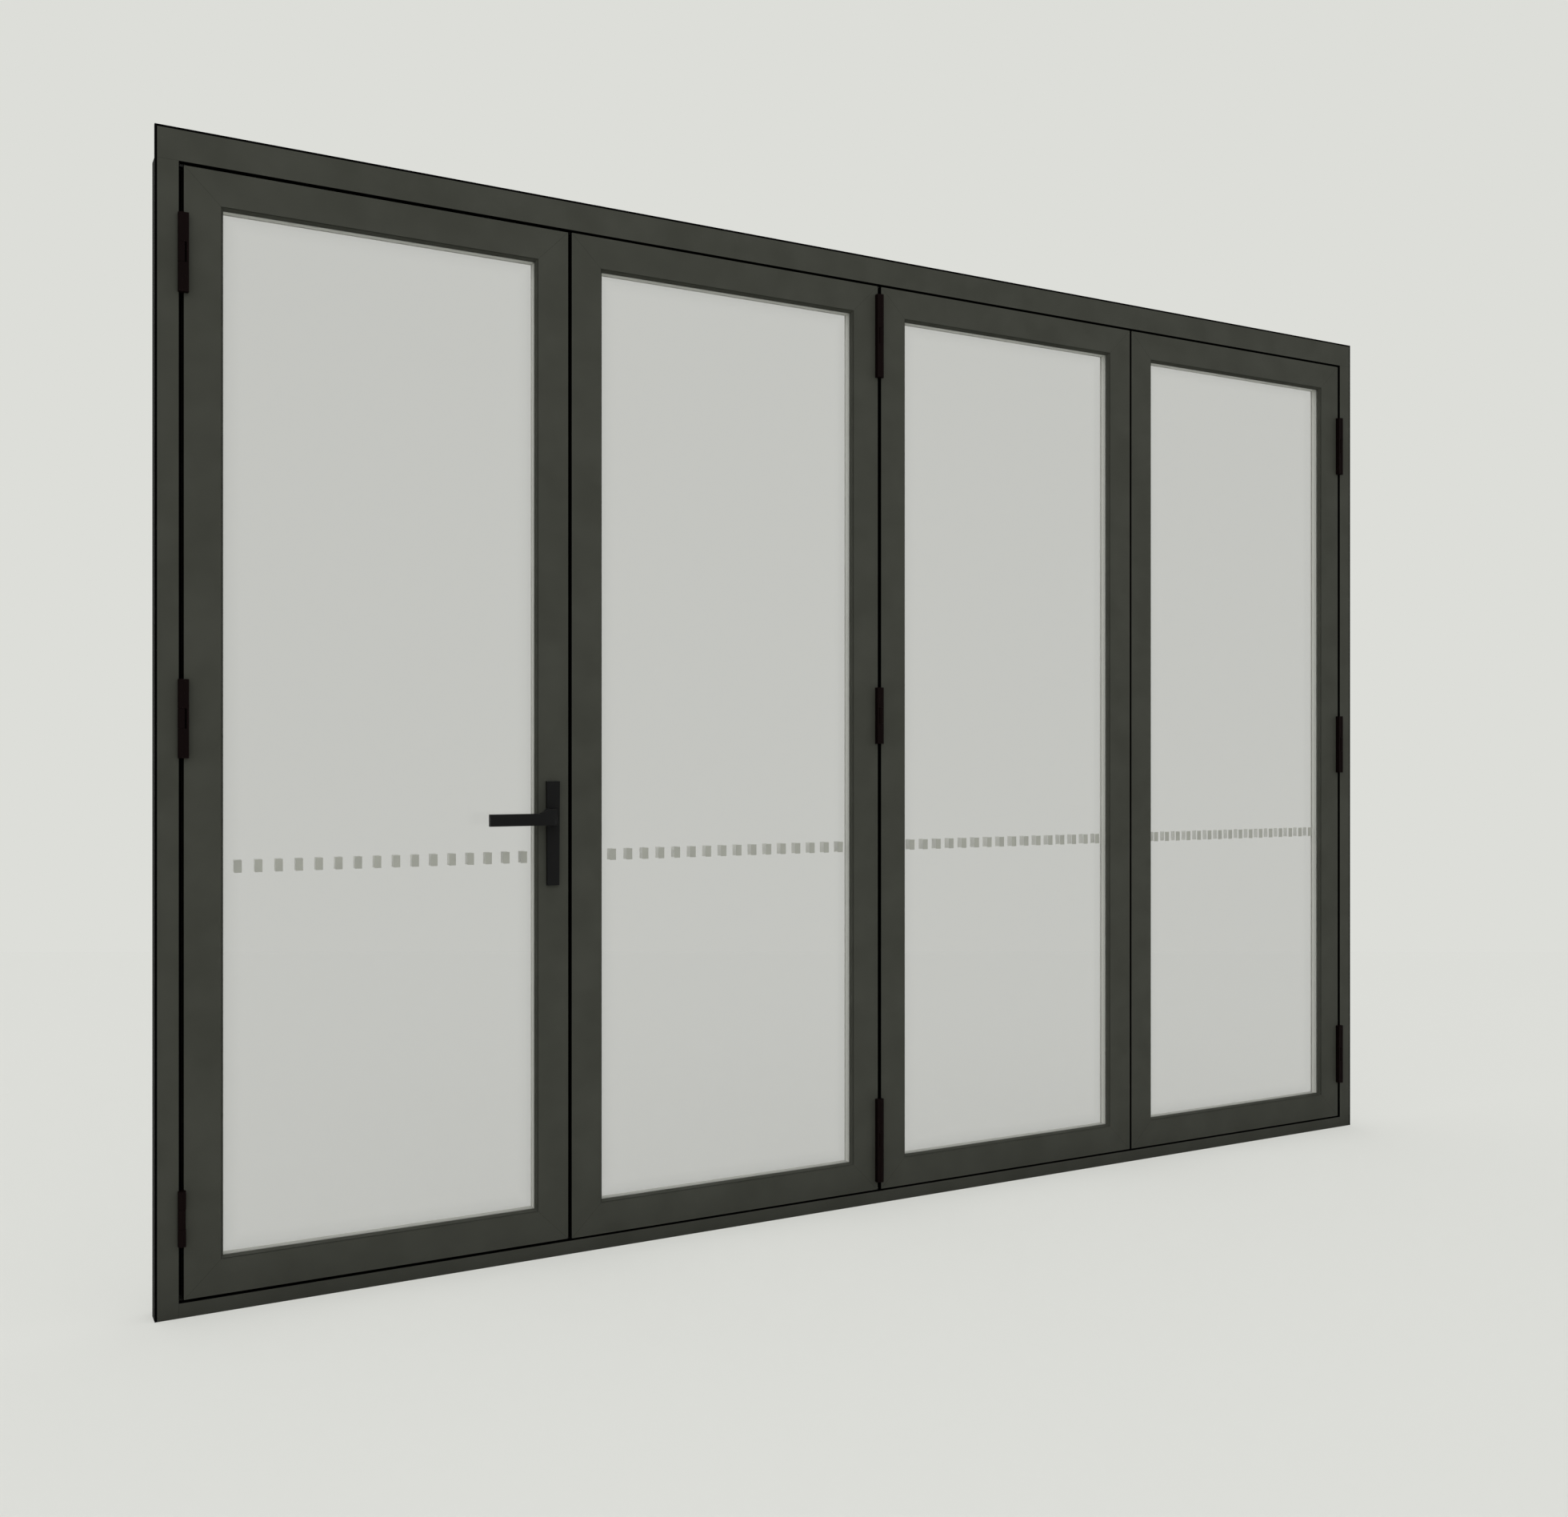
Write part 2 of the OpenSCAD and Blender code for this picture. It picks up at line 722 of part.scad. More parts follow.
// The knuckles and plates of the side with the pad: all but the middle of the hinge
module pad_half(height, gap, out, pad = pad_w) {
    side_h = (height - middle_knuckle_h) / 2 - knuckle_gap;
    rib_x = knuckle_r + over;
    difference() {
        union() {
            for (z = [0, height - side_h]) translate([0, 0, z]) {
                cylinder(r = knuckle_r, h = side_h);
                translate([0, -pad_out, 0]) cube([pad, pad_out, side_h]);
                translate([gap / 2, 0, 0]) cube([pad - gap / 2, out, side_h]);
                translate([gap / 2 - plate_t, 0, 0]) cube([plate_t, out + plate_d, side_h]);
            }
            if (pad > rib_x)
                translate([rib_x, -pad_out, 0]) cube([pad - rib_x, pad_out + out, height]);
        }
        translate([0, 0, -over]) cylinder(r = pin_r + pin_clear, h = height + 2 * over);
    }
}

// The middle knuckle with its plate on the other side, and the pin that it holds
module pin_half(height, gap, out) {
    translate([0, 0, (height - middle_knuckle_h) / 2]) {
        cylinder(r = knuckle_r, h = middle_knuckle_h);
        translate([-gap / 2, 0, 0]) cube([plate_t, out + plate_d, middle_knuckle_h]);
    }
    cylinder(r = pin_r, h = height);
}

// Feet of a set of three hinges: two stand on given heights, the top one hangs below the leaf's top
function hinge_feet(lower_two, drop, heights) =
    [lower_two[0], lower_two[1], leaf_top - drop - heights[2]];

// The access leaf's hinges stand in the middle of the left gap
access_pin_x = leaf_1_x - jamb_gap / 2;
outer_pin_y = front_y - pin_out;
access_feet = hinge_feet(access_hinge_z, access_hinge_drop, access_hinge_h);
access_pads = [low_pad_w, pad_w, pad_w];

module jamb_hinge_knuckles() {
    color(hinge_colour) for (i = [0:2])
        translate([access_pin_x, outer_pin_y, access_feet[i]])
            pin_half(access_hinge_h[i], jamb_gap, pin_out);
}

module access_leaf_hinges() {
    color(hinge_colour) for (i = [0:2])
        translate([access_pin_x, outer_pin_y, access_feet[i]])
            pad_half(access_hinge_h[i], jamb_gap, pin_out, access_pads[i]);
}

// A whole hinge between two pieces that this model keeps closed
module closed_hinge(height, gap, out) {
    pad_half(height, gap, out);
    pin_half(height, gap, out);
}

fold_feet = hinge_feet(fold_hinge_z, fold_hinge_drop, fold_hinge_h);

module outer_fold_hinges() {
    color(hinge_colour) for (i = [0:2])
        translate([leaf_3_x - front_fold_gap / 2, outer_pin_y, fold_feet[i]])
            mirror([1, 0, 0]) closed_hinge(fold_hinge_h[i], front_fold_gap, pin_out);
}

// The inner hinges are the same hinges turned to the room side
module inner_fold_hinges() {
    color(hinge_colour) for (i = [0:2])
        translate([leaf_4_x - rear_fold_gap / 2, front_y + leaf_d + inner_pin_out, fold_feet[i]])
            mirror([0, 1, 0]) closed_hinge(fold_hinge_h[i], rear_fold_gap, inner_pin_out);
}

module end_jamb_hinges() {
    feet = hinge_feet(end_hinge_z, end_hinge_drop, end_hinge_h);
    color(hinge_colour) for (i = [0:2])
        translate([leaf_4_x + leaf_w + jamb_gap / 2, outer_pin_y, feet[i]])
            mirror([1, 0, 0]) closed_hinge(end_hinge_h[i], jamb_gap, pin_out);
}

lever_x = leaf_1_x + access_w - lever_in;
bore_clear = 0.5;
neck_gap = 0.5;
spindle_bore_r = spindle_s / sqrt(2) + bore_clear;
stile_bore_r = spindle_bore_r + wall;

module lock_bores() {
    translate([lever_x, front_y - over, lever_z]) rotate([-90, 0, 0])
        cylinder(r = stile_bore_r, h = leaf_d + 2 * over);
}

// A tapered plate in front of the plane y = 0, with the spindle's bore
module handle_plate() {
    difference() {
        rotate([90, 0, 0]) linear_extrude(plate_thick) polygon([
            [-plate_foot_w / 2, -plate_down], [plate_foot_w / 2, -plate_down],
            [plate_top_w / 2, plate_up], [-plate_top_w / 2, plate_up]
        ]);
        translate([0, over, 0]) rotate([90, 0, 0])
            cylinder(r = spindle_bore_r, h = plate_thick + 2 * over);
    }
}

module handle_plates() {
    color(handle_colour) translate([lever_x, 0, lever_z]) {
        translate([0, front_y, 0]) handle_plate();
        translate([0, front_y + leaf_d, 0]) mirror([0, 1, 0]) handle_plate();
    }
}

// Where the levers begin, just in front of their plate
lever_foot = plate_thick + neck_gap;

// A lever seen from above, with x along the grip and y away from the leaf
module lever_plan(length) {
    bend_x = grip_t / 2 - bend_r;
    bend_y = grip_out - bend_r;
    translate([-grip_t / 2, lever_foot]) square([grip_t, bend_y - lever_foot]);
    translate([-length, grip_out - grip_t]) square([length + bend_x, grip_t]);
    translate([bend_x, bend_y]) intersection() {
        difference() {
            circle(r = bend_r);
            circle(r = bend_r - grip_t);
        }
        square(bend_r);
    }
}

// A flat bar bent to the plate in front of the plane y = 0; its outline as the viewer sees it is the child
module lever(length) {
    half = shoulder_up + over;
    intersection() {
        translate([0, 0, -half]) linear_extrude(2 * half) mirror([0, 1, 0]) lever_plan(length);
        rotate([90, 0, 0]) linear_extrude(grip_out + over) children();
    }
    rotate([90, 0, 0]) translate([0, 0, lever_foot]) cylinder(r = collar_r, h = collar_t);
}

// The outline of a plain grip
module grip_outline(length, height) {
    translate([-length, -height / 2]) square([length + grip_t / 2, height]);
}

// The outer lever has a shoulder above its grip and carries the spindle that goes through the stile
module outer_lever() {
    spindle_l = leaf_d + 2 * lever_foot;
    color(handle_colour) {
        translate([lever_x, front_y, lever_z]) lever(lever_l) {
            union() {
                grip_outline(lever_l, grip_h);
                difference() {
                    translate([-blend_l, 0]) square([blend_l + grip_t / 2, shoulder_up]);
                    translate([-blend_l, grip_h / 2 + blend_r]) circle(r = blend_r);
                }
            }
        }
        translate([lever_x - spindle_s / 2, front_y - lever_foot, lever_z - spindle_s / 2])
            cube([spindle_s, spindle_l, spindle_s]);
    }
}

module inner_lever() {
    color(handle_colour) translate([lever_x, front_y + leaf_d, lever_z])
        mirror([0, 1, 0]) lever(inner_lever_l) grip_outline(inner_lever_l, inner_grip_h);
}

// The lock's face plate lies on the room half of the leaf's edge, below and above the spindle,
// with a slot for the latch and a round hole for the bolt
plate_mid_v = (leaf_rear_v + leaf_d) / 2;
latch_up = 30;
latch_h = 20;
bolt_down = 62;
bolt_r = 6;

// A plate in the plane x = 0 with its thickness towards +X, pierced for the latch and the bolt
module edge_plate(length, room) {
    difference() {
        translate([0, -face_plate_w / 2, lever_z - length / 2]) cube([face_plate_t, face_plate_w, length]);
        translate([-over, -bolt_r - room, lever_z + latch_up - room])
            cube([face_plate_t + 2 * over, 2 * (bolt_r + room), latch_h + 2 * room]);
        translate([-over, 0, lever_z - bolt_down]) rotate([0, 90, 0])
            cylinder(r = bolt_r + room, h = face_plate_t + 2 * over);
    }
}

module lock_face_plate() {
    latch_room = 0.5;
    color(spacer_colour) translate([leaf_1_x + access_w, front_y + plate_mid_v, 0]) {
        edge_plate(face_plate_l, latch_room);
        translate([0, -bolt_r, lever_z + latch_up]) cube([face_plate_t, 2 * bolt_r, latch_h]);
    }
}

module lock_keep() {
    keep_room = 2;
    color(spacer_colour) translate([leaf_2_x - face_plate_t, front_y + plate_mid_v, 0])
        edge_plate(keep_l, keep_room);
}

// The carrier that hangs the second and third leaf in the track: two pairs of rollers, their block
// and the pin down to the top hinge between those leaves
seam_x = leaf_3_x - front_fold_gap / 2;
seam_y = front_y + leaf_d / 2;

module roller_carrier() {
    block_t = 6;
    block_h = 12;
    roller_t = 4;
    side_room = 0.3;
    roller_room = 0.3;
    axle_r = 2.5;
    axle_z = frame_h - head_h + track_wall + roller_room + roller_r;
    pin_foot = leaf_top - fold_hinge_drop;
    color(spacer_colour) translate([seam_x, seam_y, 0]) {
        translate([-roller_pitch / 2 - axle_r - wall, -block_t / 2, axle_z - block_h / 2])
            cube([roller_pitch + 2 * (axle_r + wall), block_t, block_h]);
        translate([0, 0, pin_foot]) cylinder(r = guide_pin_r, h = axle_z - pin_foot);
        for (x = [-roller_pitch / 2, roller_pitch / 2], flip = [0, 1]) translate([x, 0, axle_z])
            mirror([0, flip, 0]) rotate([-90, 0, 0]) {
                cylinder(r = axle_r, h = block_t / 2 + side_room + roller_t);
                translate([0, 0, block_t / 2 + side_room]) cylinder(r = roller_r, h = roller_t);
            }
    }
}

// The pin below the lowest hinge between those leaves, which runs in the sill's groove
module guide_pin() {
    groove_room = 4;
    pin_foot = sill_h - guide_h + groove_room;
    color(spacer_colour) translate([seam_x, seam_y, pin_foot])
        cylinder(r = guide_pin_r, h = fold_hinge_z[0] - pin_foot);
}

head_frame();
sill_frame();
left_jamb();
right_jamb();
head_track();
frame_breaks();
edge_seal();
stop_seals();
leaf_1_left_stile();
leaf_1_right_stile();
leaf_1_top_rail();
leaf_1_bottom_rail();
leaf_2_left_stile();
leaf_2_right_stile();
leaf_2_top_rail();
leaf_2_bottom_rail();
leaf_3_left_stile();
leaf_3_right_stile();
leaf_3_top_rail();
leaf_3_bottom_rail();
leaf_4_left_stile();
leaf_4_right_stile();
leaf_4_top_rail();
leaf_4_bottom_rail();
access_leaf_glass();
folding_leaf_glass();
access_leaf_breaks();
folding_leaf_breaks();
access_leaf_spacer();
folding_leaf_spacers();
access_leaf_beads();
folding_leaf_beads();
access_leaf_seals();
folding_leaf_seals();
seam_seals();
meeting_stop();
jamb_hinge_knuckles();
access_leaf_hinges();
outer_fold_hinges();
inner_fold_hinges();
end_jamb_hinges();
handle_plates();
outer_lever();
inner_lever();
lock_face_plate();
lock_keep();
roller_carrier();
guide_pin();
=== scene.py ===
"""The looks of a four-leaf aluminium bifold door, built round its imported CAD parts."""
import json
import math

import bpy
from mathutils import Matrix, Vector


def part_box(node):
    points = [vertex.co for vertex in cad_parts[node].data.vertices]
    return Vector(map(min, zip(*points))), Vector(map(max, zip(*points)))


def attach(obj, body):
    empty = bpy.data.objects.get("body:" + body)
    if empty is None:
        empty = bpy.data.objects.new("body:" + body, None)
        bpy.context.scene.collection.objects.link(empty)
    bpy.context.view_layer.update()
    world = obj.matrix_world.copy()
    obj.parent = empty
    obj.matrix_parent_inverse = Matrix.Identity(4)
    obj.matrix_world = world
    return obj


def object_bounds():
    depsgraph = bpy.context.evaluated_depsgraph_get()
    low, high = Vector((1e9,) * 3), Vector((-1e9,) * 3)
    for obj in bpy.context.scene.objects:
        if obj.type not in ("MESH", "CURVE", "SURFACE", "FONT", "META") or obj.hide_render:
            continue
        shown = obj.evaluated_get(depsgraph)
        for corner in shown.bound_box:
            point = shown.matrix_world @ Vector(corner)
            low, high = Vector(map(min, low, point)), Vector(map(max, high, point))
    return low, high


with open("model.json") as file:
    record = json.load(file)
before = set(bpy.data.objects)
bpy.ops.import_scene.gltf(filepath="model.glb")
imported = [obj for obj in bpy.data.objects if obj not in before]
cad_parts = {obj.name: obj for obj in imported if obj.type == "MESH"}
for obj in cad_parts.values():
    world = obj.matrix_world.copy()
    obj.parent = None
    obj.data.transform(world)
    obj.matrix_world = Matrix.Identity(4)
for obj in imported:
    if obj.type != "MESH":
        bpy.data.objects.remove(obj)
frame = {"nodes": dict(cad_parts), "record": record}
cad_low, cad_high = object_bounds()

MM = 0.001
LEAVES = (1, 2, 3, 4)
# From a leaf's edge to its sight line, and the width of the painted shade along the glass's rims beside it
SIGHT_W = 76.5
RIM_SHADE_W = 36

# ---- camera: 35 mm lens at eye height, a little to the left of the door

camera_data = bpy.data.cameras.new("camera")
camera_data.lens = 35
camera_data.sensor_width = 36
camera = bpy.data.objects.new("camera", camera_data)
camera.location = (-2.0747, -3.3147, 1.1286)
camera.rotation_euler = (math.radians(90), 0, math.radians(-28.7346))
bpy.context.scene.collection.objects.link(camera)
bpy.context.scene.camera = camera


# ---- colours and nodes

def linear(code):
    """Linear RGBA of an sRGB hex colour."""
    parts = [int(code[i:i + 2], 16) / 255 for i in (1, 3, 5)]
    flat = [p / 12.92 if p <= 0.04045 else ((p + 0.055) / 1.055) ** 2.4 for p in parts]
    return (*flat, 1)


def add(tree, kind, settings=None, links=None):
    """Adds one shader node with its settings and links. A setting that isn't a property is a socket."""
    node = tree.nodes.new("ShaderNode" + kind)
    for key, value in (settings or {}).items():
        if isinstance(key, str) and hasattr(node, key):
            setattr(node, key, value)
        else:
            node.inputs[key].default_value = value
    for key, source in (links or {}).items():
        tree.links.new(source, node.inputs[key])
    return node


def new_material(name):
    """An empty node material and its tree."""
    material = bpy.data.materials.new(name)
    material.use_nodes = True
    material.node_tree.nodes.clear()
    return material, material.node_tree


def coated(name, dark, light, roughness, specular, grain_mm, bump_mm, cloud_mm=90, over=None):
    """A sprayed or moulded surface: two close tones in soft clouds, a fine grain in height and gloss.
    What lies over the coat in places, such as tape, is a function from tone to tone."""
    material, tree = new_material(name)
    place = add(tree, "TexCoord")
    cloud = add(tree, "TexNoise", {"Scale": 1 / (cloud_mm * MM), "Detail": 2.0},
                {"Vector": place.outputs["Object"]})
    tones = add(tree, "ValToRGB", links={"Fac": cloud.outputs["Fac"]})
    tones.color_ramp.elements[0].position = 0.3
    tones.color_ramp.elements[0].color = linear(dark)
    tones.color_ramp.elements[1].position = 0.7
    tones.color_ramp.elements[1].color = linear(light)
    grain = add(tree, "TexNoise", {"Scale": 1 / (grain_mm * MM), "Detail": 3.0},
                {"Vector": place.outputs["Object"]})
    gloss = add(tree, "MapRange", {"To Min": roughness - 0.06, "To Max": roughness + 0.06},
                {"Value": grain.outputs["Fac"]})
    bump = add(tree, "Bump", {"Strength": 0.5, "Distance": bump_mm * MM},
               {"Height": grain.outputs["Fac"]})
    tone = tones.outputs["Color"]
    if over:
        tone = over(tree, place, tone)
    surface = add(tree, "BsdfPrincipled", {"Specular IOR Level": specular}, {
        "Base Color": tone,
        "Roughness": gloss.outputs["Result"],
        "Normal": bump.outputs["Normal"],
    })
    add(tree, "OutputMaterial", links={"Surface": surface.outputs["BSDF"]})
    return material


# Matt polyester powder coat, sprayed and baked: an even grey with a fine orange-peel grain.
# The real grain is about 0.3 mm; it is drawn at 1.5 mm so that the render shows it.
powder_coat = coated("matt_grey_polyester_powder_coat", "#3B3C36", "#40413B", 0.6, 0.05, 1.5, 0.03)


def side_shade_and_tape(tree, place, tone):
    """The jamb's outer side, which goes into the wall, with painted shade: a darker grey than the front, and black
    sealing tape along it behind the insulating strip, which stands for the shade there as well."""
    axes = add(tree, "SeparateXYZ", links={"Vector": place.outputs["Object"]})
    aside = add(tree, "Math", {"operation": "ABSOLUTE"}, {0: axes.outputs["X"]})
    outer = add(tree, "Math", {"operation": "GREATER_THAN", 1: cad_high[0] - 0.1 * MM},
                {0: aside.outputs["Value"]})
    taped = add(tree, "Math", {"operation": "GREATER_THAN", 1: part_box("head_frame")[0].y + TAPE_FROM * MM},
                {0: axes.outputs["Y"]})
    side = add(tree, "ValToRGB", links={"Fac": taped.outputs["Value"]})
    # Painted shade: the side's grey is darker than the coat on the front, and the tape black
    side.color_ramp.elements[0].color = linear("#30312D")
    side.color_ramp.elements[1].color = linear("#040404")
    both = add(tree, "MixRGB", links={"Fac": outer.outputs["Value"], "Color1": tone, "Color2": side.outputs["Color"]})
    return both.outputs["Color"]


TAPE_FROM = 22
jamb_coat = coated("matt_grey_powder_coat_with_painted_side_shade_and_tape", "#3B3C36", "#40413B", 0.6, 0.05, 1.5, 0.03,
                   over=side_shade_and_tape)
# The same coat in deep brown black, on cast aluminium hinges: smoother, hardly any shine.
hinge_coat = coated("deep_brown_black_powder_coat", "#0F0909", "#110A0A", 0.5, 0.02, 1.2, 0.03)
# Satin black coat on the die-cast handle: neutral, smooth to the hand.
handle_coat = coated("satin_black_handle_coat", "#171717", "#191919", 0.42, 0.04, 1.0, 0.02)
# Extruded synthetic rubber: dead black with a dull skin.
rubber = coated("extruded_black_rubber", "#030303", "#050505", 0.8, 0.02, 2.0, 0.05)
# Rubber of the glazing seals, drawn grey: painted light, for the light from the glass that falls on it.
glazing_rubber = coated("glazing_rubber_with_painted_light", "#5C5D58", "#64655F", 0.7, 0.1, 2.0, 0.04)
# Glass-fibre polyamide strips between the two aluminium halves: black, slightly grainy.
polyamide = coated("black_glass_fibre_polyamide", "#060606", "#0A0A0A", 0.65, 0.02, 1.5, 0.05)


def mill_aluminium():
    """Extruded aluminium as it leaves the press: bright, with fine lines along its length."""
    material, tree = new_material("mill_finish_aluminium")
    place = add(tree, "TexCoord")
    stretch = add(tree, "Mapping", {"Scale": (0.02, 1.0, 1.0)}, {"Vector": place.outputs["Object"]})
    line_mm = 1.0
    lines = add(tree, "TexNoise", {"Scale": 1 / (line_mm * MM), "Detail": 2.0},
                {"Vector": stretch.outputs["Vector"]})
    gloss = add(tree, "MapRange", {"To Min": 0.3, "To Max": 0.5}, {"Value": lines.outputs["Fac"]})
    bump = add(tree, "Bump", {"Strength": 0.4, "Distance": 0.02 * MM},
               {"Height": lines.outputs["Fac"]})
    surface = add(tree, "BsdfPrincipled", {"Base Color": linear("#B9BAB8"), "Metallic": 1.0},
                  {"Roughness": gloss.outputs["Result"], "Normal": bump.outputs["Normal"]})
    add(tree, "OutputMaterial", links={"Surface": surface.outputs["BSDF"]})
    return material


# Tones of the spacer bar's upright faces: outer half and room half
SPACER_STEP = 0.12
SPACER_TONES = ((0.44, "#CACBC3"), (0.56, "#D7D8D0"))


def spacer_bar():
    """Satin bar round the edge of a sealed unit: its outer half is a shade darker than its room half.
    Its upward faces carry painted shade and its downward faces painted light, set by the way each face turns."""
    material, tree = new_material("satin_grey_spacer_bar")
    low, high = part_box("access_leaf_spacer")
    place = add(tree, "TexCoord")
    axes = add(tree, "SeparateXYZ", links={"Vector": place.outputs["Object"]})
    middle = (low.y + high.y) / 2
    seam = 0.2 * MM
    across = add(tree, "MapRange", {
        "From Min": middle - seam, "From Max": middle + seam, "To Max": SPACER_STEP,
    }, {"Value": axes.outputs["Y"]})
    facing = add(tree, "NewGeometry")
    turned = add(tree, "SeparateXYZ", links={"Vector": facing.outputs["Normal"]})
    # Painted shade on upward faces and painted light on downward faces, from the face's normal
    painted_facing_shade = add(tree, "MapRange", {
        "From Min": 1.0, "From Max": -1.0, "To Max": 1 - SPACER_STEP,
    }, {"Value": turned.outputs["Z"]})
    tone = add(tree, "Math", {"operation": "ADD"}, {
        0: across.outputs["Result"], 1: painted_facing_shade.outputs["Result"],
    })
    tones = add(tree, "ValToRGB", links={"Fac": tone.outputs["Value"]})
    # The ramp's ends: painted shade for upward faces, painted light for downward faces
    tones.color_ramp.elements[0].color = linear("#A4A59D")
    tones.color_ramp.elements[1].color = linear("#F0F1E9")
    for at, code in SPACER_TONES:
        tones.color_ramp.elements.new(at).color = linear(code)
    pore_mm = 3.0
    pores = add(tree, "TexNoise", {"Scale": 1 / (pore_mm * MM), "Detail": 2.0},
                {"Vector": place.outputs["Object"]})
    gloss = add(tree, "MapRange", {"To Min": 0.45, "To Max": 0.6}, {"Value": pores.outputs["Fac"]})
    surface = add(tree, "BsdfPrincipled", {"Specular IOR Level": 0.4},
                  {"Base Color": tones.outputs["Color"], "Roughness": gloss.outputs["Result"]})
    add(tree, "OutputMaterial", links={"Surface": surface.outputs["BSDF"]})
    return material


def inside_span(tree, value, low, high):
    """How far a coordinate lies inside a span, in metres."""
    shift = add(tree, "Math", {"operation": "SUBTRACT", 1: (low + high) / 2}, {0: value})
    aside = add(tree, "Math", {"operation": "ABSOLUTE"}, {0: shift.outputs["Value"]})
    return add(tree, "Math", {"operation": "SUBTRACT", 0: (high - low) / 2}, {1: aside.outputs["Value"]})


def float_glass():
    """Coated float glass: clear and neutral, with hardly a mirror image, and with painted shade along its rims,
    where the frame stands over it."""
    material, tree = new_material("clear_float_glass")
    place = add(tree, "TexCoord")
    axes = add(tree, "SeparateXYZ", links={"Vector": place.outputs["Object"]})
    sight = SIGHT_W * MM
    inside = None
    for n in LEAVES:
        low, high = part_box(f"leaf_{n}_left_stile")[0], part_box(f"leaf_{n}_right_stile")[1]
        span = inside_span(tree, axes.outputs["X"], low.x + sight, high.x - sight)
        if inside is None:
            inside = span
        else:
            inside = add(tree, "Math", {"operation": "MAXIMUM"}, {
                0: inside.outputs["Value"], 1: span.outputs["Value"],
            })
    upright = inside_span(tree, axes.outputs["Z"], low.z + sight, high.z - sight)
    from_rim = add(tree, "Math", {"operation": "MINIMUM"}, {
        0: inside.outputs["Value"], 1: upright.outputs["Value"],
    })
    # Painted shade: the glass's tint darkens towards the rims of each pane
    rim_shade = add(tree, "MapRange", {"From Max": RIM_SHADE_W * MM}, {"Value": from_rim.outputs["Value"]})
    body = add(tree, "ValToRGB", links={"Fac": rim_shade.outputs["Result"]})
    body.color_ramp.elements[0].color = linear("#E9E9E9")
    body.color_ramp.elements[1].color = linear("#F0F0F0")
    body.color_ramp.elements.new(0.3).color = linear("#EDEDED")
    glass = add(tree, "BsdfPrincipled", {
        "Roughness": 0.0, "IOR": 1.2, "Transmission Weight": 1.0,
    }, {"Base Color": body.outputs["Color"]})
    lets_light = add(tree, "BsdfTransparent", {"Color": linear("#FAFAFA")})
    path = add(tree, "LightPath")
    soft = add(tree, "Math", {"operation": "MAXIMUM"}, {
        0: path.outputs["Is Shadow Ray"], 1: path.outputs["Is Diffuse Ray"],
    })
    both = add(tree, "MixShader", links={
        "Fac": soft.outputs["Value"],
        1: glass.outputs["BSDF"],
        2: lets_light.outputs["BSDF"],
    })
    add(tree, "OutputMaterial", links={"Surface": both.outputs["Shader"]})
    return material


aluminium = mill_aluminium()
spacer = spacer_bar()
glass = float_glass()
# Cut vinyl film of the markers: opaque grey with a dull skin. The room side's is a paler grey.
front_film = coated("grey_marker_film_outside", "#999A93", "#9FA098", 0.6, 0.02, 2.0, 0.01, 30)
rear_film = coated("grey_marker_film_room_side", "#D8D9D2", "#DEDFD8", 0.6, 0.02, 2.0, 0.01, 30)
# Silicone that seals the room side of the glass: pale grey, smoothed wet, satin.
silicone = coated("pale_grey_silicone", "#DDDED6", "#E4E5DD", 0.5, 0.1, 3.0, 0.05)
# Zinc-plated steel of the lock and the rollers: a pale dull metal with a cloudy plating.
plated_steel = coated("zinc_plated_steel", "#8F908E", "#A3A4A1", 0.38, 0.6, 1.0, 0.02, 12)
# Steel screws, blackened: a dull dark metal.
screw_steel = coated("blackened_steel_screws", "#1B1B1C", "#242425", 0.4, 0.3, 0.8, 0.02)

FINISHES = {
    "grey_powder_coat": powder_coat,
    "mill_aluminium": aluminium,
    "plated_steel": plated_steel,
    "spacer_bar": spacer,
    "insulating_strip": polyamide,
    "black_seal": rubber,
    "glazing_seal": glazing_rubber,
    "dark_hinge": hinge_coat,
    "black_handle": handle_coat,
    "glass": glass,
}


def wear(piece, material):
    """Gives a piece one material all over."""
    piece.data.materials.clear()
    piece.data.materials.append(material)


for subpart in frame["record"]["subparts"]:
    wear(frame["nodes"][subpart["node"]], FINISHES[subpart["material_slot"]])
for jamb in ("left_jamb", "right_jamb"):
    wear(frame["nodes"][jamb], jamb_coat)


# ---- modelling helpers, in millimetres

def deselect():
    """Leaves edit mode and selects nothing, because operators act on all that is selected."""
    if bpy.context.mode != "OBJECT":
        bpy.ops.object.mode_set(mode="OBJECT")
    bpy.ops.object.select_all(action="DESELECT")


def settle(piece):
    """Puts the piece's place into its mesh."""
    bpy.ops.object.transform_apply(location=True, rotation=True, scale=True)
    return piece


def bar(name, low, high, edge=0.15):
    """A straight strip between two corners, with its edges taken off."""
    deselect()
    centre = [(a + b) / 2 * MM for a, b in zip(low, high)]
    size = [(b - a) * MM for a, b in zip(low, high)]
    bpy.ops.mesh.primitive_cube_add(size=1, location=centre, scale=size)
    piece = bpy.context.object
    piece.name = name
    settle(piece)
    bpy.ops.object.mode_set(mode="EDIT")
    bpy.ops.mesh.select_all(action="SELECT")
    bpy.ops.mesh.bevel(offset=edge * MM, segments=1)
    bpy.ops.object.mode_set(mode="OBJECT")
    return piece


def join(name, pieces):
    """Makes one piece of several."""
    deselect()
    for piece in pieces:
        piece.select_set(True)
    bpy.context.view_layer.objects.active = pieces[0]
    if len(pieces) > 1:
        bpy.ops.object.join()
    pieces[0].name = name
    return pieces[0]


def copy_by(piece, shift):
    """A copy with its own mesh, moved by a shift in mm."""
    twin = piece.copy()
    twin.data = piece.data.copy()
    bpy.context.scene.collection.objects.link(twin)
    for vertex in twin.data.vertices:
        vertex.co += Vector(shift) * MM
    return twin


